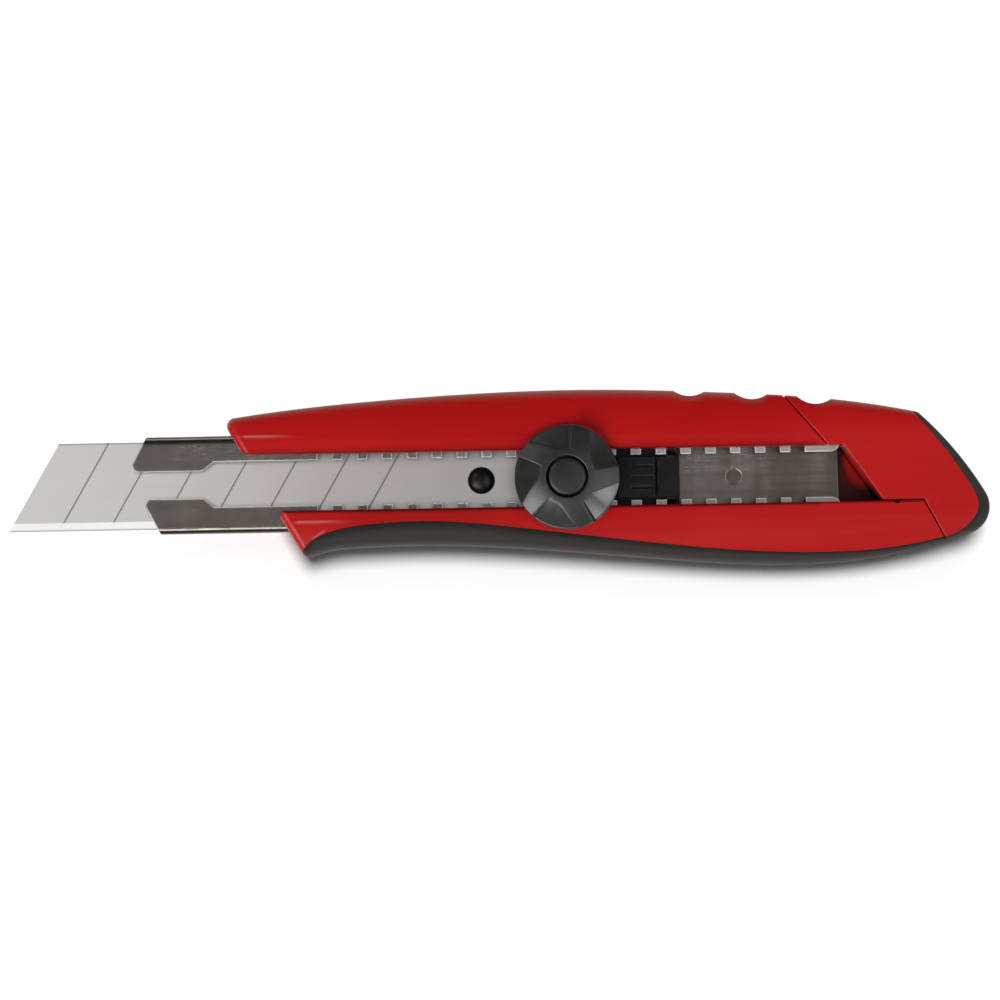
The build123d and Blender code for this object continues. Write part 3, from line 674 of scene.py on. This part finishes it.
class SteelLook(PropertyGroup):
    """Channel, blade and the small metal parts."""

    channel: FloatVectorProperty(
        name="Channel", description="Colour of the rolled strip", subtype="COLOR", size=3, min=0, max=1,
        default=srgb(160, 157, 152),
    )
    channel_roughness: FloatProperty(
        name="Channel roughness", description="Roughness of the rolled strip", subtype="FACTOR", default=0.24,
        min=0, max=1,
    )
    spring: FloatVectorProperty(
        name="Spring", description="Colour of the spring, the screw and the washer", subtype="COLOR", size=3,
        min=0, max=1, default=srgb(110, 108, 105),
    )
    steel: FloatVectorProperty(
        name="Blade", description="Colour of the ground blade", subtype="COLOR", size=3, min=0, max=1,
        default=srgb(218, 215, 212),
    )
    roughness: FloatProperty(
        name="Blade roughness", description="Roughness of the ground flats", subtype="FACTOR", default=0.45,
        min=0, max=1,
    )
    bevel: FloatProperty(
        name="Bevel", description="Width of the honed bevel", subtype="DISTANCE", default=0.0017, precision=4
    )
    brass: FloatVectorProperty(
        name="Brass", description="Colour of the threaded insert", subtype="COLOR", size=3, min=0, max=1,
        default=srgb(206, 170, 92),
    )


class WheelLook(PropertyGroup):
    """Lock wheel and the other black parts."""

    black: FloatVectorProperty(
        name="Black", description="Colour of the black mouldings", subtype="COLOR", size=3, min=0, max=1,
        default=srgb(30, 30, 29),
    )
    roughness: FloatProperty(
        name="Roughness", description="Roughness of the black mouldings", subtype="FACTOR", default=0.36,
        min=0, max=1,
    )
    scoops: IntProperty(name="Scoops", description="Number of finger scoops", default=5, min=3, max=8)
    scoop_turn: FloatProperty(
        name="First wall", description="Direction of the first scoop's wall", subtype="ANGLE",
        default=math.radians(14),
    )
    scoop_span: FloatProperty(
        name="Scoop span", description="Angle that a scoop covers at the rim", subtype="ANGLE",
        default=math.radians(52),
    )
    scoop_start: FloatProperty(
        name="Scoop start", description="Radius at which a scoop starts", subtype="DISTANCE", default=0.0057,
        precision=4,
    )
    scoop_fall: FloatProperty(
        name="Scoop fall", description="Depth that a scoop gains for each unit outwards", subtype="FACTOR",
        default=0.42, min=0, max=1,
    )
    pin_dome: FloatProperty(
        name="Pin dome", description="Fall of the blade pin's domed head from its middle to its edge",
        subtype="DISTANCE", default=0.0012, precision=4,
    )


class StageLook(PropertyGroup):
    """Floor, light and camera."""

    floor: FloatVectorProperty(
        name="Floor", description="Colour of the floor", subtype="COLOR", size=3, min=0, max=1,
        default=(0.9, 0.9, 0.9),
    )
    sky: FloatProperty(name="Fill", description="Level of the even fill light", default=0.12, min=0, max=2)
    key: FloatProperty(
        name="Key", description="Strength of the knife's main lamp", default=2.25, min=0, max=8
    )
    side: FloatProperty(
        name="Sides", description="Strength of the knife's two side lamps", default=0.75, min=0, max=8
    )
    card: FloatProperty(
        name="Cards", description="Strength of the low cards and of the small lamps on the channel and wheel",
        default=0.4, min=0, max=8,
    )
    blade_key: FloatProperty(
        name="Blade", description="Strength of the lamp above the blade", default=1.25, min=0, max=8
    )
    floor_key: FloatProperty(
        name="Floor key", description="Strength of the floor's main lamp", default=3.0, min=0, max=8
    )
    floor_fill: FloatProperty(
        name="Floor fill", description="Strength of the floor's soft lamp", default=0.4, min=0, max=8
    )
    lean: FloatProperty(
        name="Lean", description="Camera's lean from straight above towards the belly", subtype="ANGLE",
        default=math.radians(2.5),
    )
    roll: FloatProperty(
        name="Roll", description="Camera's roll", subtype="ANGLE", default=math.radians(0.98)
    )
    distance: FloatProperty(
        name="Distance", description="Camera's distance from the knife", subtype="DISTANCE", default=0.7
    )
    lens: FloatProperty(
        name="Lens", description="Focal length on a 36 mm sensor", subtype="DISTANCE_CAMERA", default=122.7
    )


# Pieces


class KNIFE_OT_dress_handle(Operator):
    """Give the handle and its end cap their red shell"""

    bl_idname = "knife.dress_handle"
    bl_label = "Handle"

    def execute(self, context):
        finish = red_shell(context.scene.knife_handle)
        wear(finish, "handle_body")
        wear(finish, "end_cap")
        return {"FINISHED"}


class KNIFE_OT_dress_grip(Operator):
    """Give the belly grip and the tail bumper their rubber"""

    bl_idname = "knife.dress_grip"
    bl_label = "Grip"

    def execute(self, context):
        finish = grey_rubber(context.scene.knife_grip)
        wear(finish, "belly_grip")
        wear(finish, "tail_bumper")
        return {"FINISHED"}


class KNIFE_OT_dress_channel(Operator):
    """Give the channel and the small steel parts their rolled finish"""

    bl_idname = "knife.dress_channel"
    bl_label = "Channel"

    def execute(self, context):
        look = context.scene.knife_steel
        strip = rolled_steel("channel_finish", look.channel, look.channel_roughness, edge_round=0.0003)
        spring = rolled_steel("spring_finish", look.spring, roughness=0.2, edge_round=0.0001)
        rivet = rolled_steel("rivet_finish", look.channel, look.channel_roughness, edge_round=0.0001)
        for node in ("blade_channel", "blade_holder"):
            wear(strip, node)
        wear(rivet, "channel_rivets")
        for node in ("detent_spring", "lock_bolt", "thrust_washer"):
            wear(spring, node)
        return {"FINISHED"}


class KNIFE_OT_dress_blade(Operator):
    """Give the blade its ground finish"""

    bl_idname = "knife.dress_blade"
    bl_label = "Blade"

    def execute(self, context):
        wear(ground_blade(context.scene.knife_steel), "blade")
        return {"FINISHED"}


class KNIFE_OT_dress_slider(Operator):
    """Give the slider and its shoe their black finish, and make the domed blade pin"""

    bl_idname = "knife.dress_slider"
    bl_label = "Slider"

    def execute(self, context):
        look = context.scene.knife_wheel
        black = tint(look.black, 0.3)
        finish = black_plastic(
            "slider_finish", black, look.roughness, edge_round=0.00018, sheen=0.25, wear_and_glint=0.12
        )
        wear(finish, "slider_block")
        wear(finish, "clamp_shoe")
        low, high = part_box("blade_pin")
        centre = ((low.x + high.x) / 2, (low.y + high.y) / 2)
        radius = (high.x - low.x) / 2
        out = np.linspace(0, 0.95, 18)
        dome = np.stack([radius * out, high.z - look.pin_dome * (1 - np.sqrt(1 - out**2))], axis=-1)
        shank, foot, brim = 0.0015, high.z - 0.0014, 0.0004
        stem = np.array([(radius, foot + brim), (radius, foot), (shank, foot), (shank, low.z), (0, low.z)])
        points = turned(np.concatenate([dome, stem]), centre, 64)
        skin("domed_pin", points, finish, "slider", "blade_pin", closed=False)
        return {"FINISHED"}


class KNIFE_OT_make_wheel(Operator):
    """Make the scooped lock wheel and its cap"""

    bl_idname = "knife.make_wheel"
    bl_label = "Lock wheel"

    def execute(self, context):
        look = context.scene.knife_wheel
        low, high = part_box("lock_wheel")
        centre = ((low.x + high.x) / 2, (low.y + high.y) / 2)
        finish = black_plastic(
            "wheel_finish", look.black, look.roughness, edge_round=0.00012, sheen=0.5, wear_and_glint=0.035
        )
        points = wheel_points(look, centre, (high.x - low.x) / 2, low.z, high.z)
        skin("scooped_wheel", points, finish, "wheel", "lock_wheel")
        low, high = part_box("wheel_cap")
        radius = (high.x - low.x) / 2
        flat, crown, brim, foot = 0.94, 0.00016, 0.0002, 0.0001
        out = np.linspace(0, 1, 14)
        top = np.stack([flat * radius * out, high.z - crown * out**2], axis=-1)
        corners = [(radius, high.z - brim), (radius, low.z), (0, low.z)]
        side = eased(corners, (brim, foot, 0))[:11]
        points = turned(np.concatenate([top, side]), centre)
        skin("crowned_cap", points, finish, "wheel", "wheel_cap", closed=False)
        wear(turned_brass(context.scene.knife_steel, centre), "wheel_insert")
        return {"FINISHED"}


class KNIFE_OT_set_stage(Operator):
    """Make the floor, the light and the camera"""

    bl_idname = "knife.set_stage"
    bl_label = "Stage"

    def execute(self, context):
        look = context.scene.knife_stage
        scene = context.scene
        scene.view_settings.view_transform = "Standard"
        floor = floor_sheet(scene, look)
        floor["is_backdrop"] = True
        studio_world(scene, look)
        blade = [NODES["blade"]]
        others = [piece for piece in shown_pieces() if piece not in blade]
        wheel = [piece for piece in others if piece.name == "scooped_wheel"]
        channel = [NODES["blade_channel"]]
        handle = [NODES[name] for name in ("handle_body", "belly_grip", "end_cap", "tail_bumper")]
        soft_lamp("key_lamp", (-0.45, -0.45, 0.77), look.key, 40, others)
        soft_lamp("spine_lamp", (-0.5, 0.42, 0.76), 0.3 * look.side, 24, others)
        soft_lamp("tail_lamp", (0.55, -0.1, 0.83), look.side, 40, others)
        soft_lamp("tail_card", (0.69, -0.69, 0.25), look.card, 34, others)
        soft_lamp("lip_card", (0.0, 0.94, 0.34), 2.5 * look.card, 24, channel, channel)
        soft_lamp("fold_card", (0.0, -0.6, 0.8), 0.8 * look.card, 24, channel, channel)
        soft_lamp("channel_lamp", (0.0, 0.06, 1.0), 0.065 * look.card, 30, channel, channel)
        soft_lamp("wheel_card", (0.61, -0.79, 0.2), 3 * look.card, 24, wheel)
        soft_lamp("wheel_glint", (-0.45, -0.31, 0.84), 1.2 * look.card, 14, wheel)
        soft_lamp("blade_lamp", (-0.1, 0.0, 1.0), look.blade_key, 50, blade)
        soft_lamp("floor_lamp", (0.0, 0.18, 0.98), look.floor_key, 16, [floor], handle)
        soft_lamp("floor_fill", (0.0, 0.53, 0.85), look.floor_fill, 40, [floor])
        set_camera(scene, look)
        return {"FINISHED"}


class KNIFE_PT_panel(Panel):
    """Sizes, colours and steps of the knife"""

    bl_idname = "KNIFE_PT_panel"
    bl_label = "Utility knife"
    bl_space_type = "VIEW_3D"
    bl_region_type = "UI"
    bl_category = "Knife"

    def draw(self, context):
        for name in LOOKS:
            look = getattr(context.scene, name)
            box = self.layout.box()
            for prop in look.__annotations__:
                box.prop(look, prop)
        for step in STEPS:
            self.layout.operator(step.bl_idname)


LOOKS = {
    "knife_handle": HandleLook,
    "knife_grip": GripLook,
    "knife_steel": SteelLook,
    "knife_wheel": WheelLook,
    "knife_stage": StageLook,
}
STEPS = (
    KNIFE_OT_dress_handle,
    KNIFE_OT_dress_grip,
    KNIFE_OT_dress_channel,
    KNIFE_OT_dress_blade,
    KNIFE_OT_dress_slider,
    KNIFE_OT_make_wheel,
    KNIFE_OT_set_stage,
)


def register():
    for made in (*LOOKS.values(), *STEPS, KNIFE_PT_panel):
        bpy.utils.register_class(made)
    for name, kind in LOOKS.items():
        setattr(bpy.types.Scene, name, PointerProperty(type=kind))


def unregister():
    for name in LOOKS:
        delattr(bpy.types.Scene, name)
    for made in reversed((*LOOKS.values(), *STEPS, KNIFE_PT_panel)):
        bpy.utils.unregister_class(made)


def main():
    for name in ("Cube", "Light", "Camera"):
        if name in bpy.data.objects:
            bpy.data.objects.remove(bpy.data.objects[name])
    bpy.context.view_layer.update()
    register()
    bpy.ops.knife.dress_handle()
    bpy.ops.knife.dress_grip()
    bpy.ops.knife.dress_channel()
    bpy.ops.knife.dress_blade()
    bpy.ops.knife.dress_slider()
    bpy.ops.knife.make_wheel()
    bpy.ops.knife.set_stage()


if __name__ == "__main__":
    main()
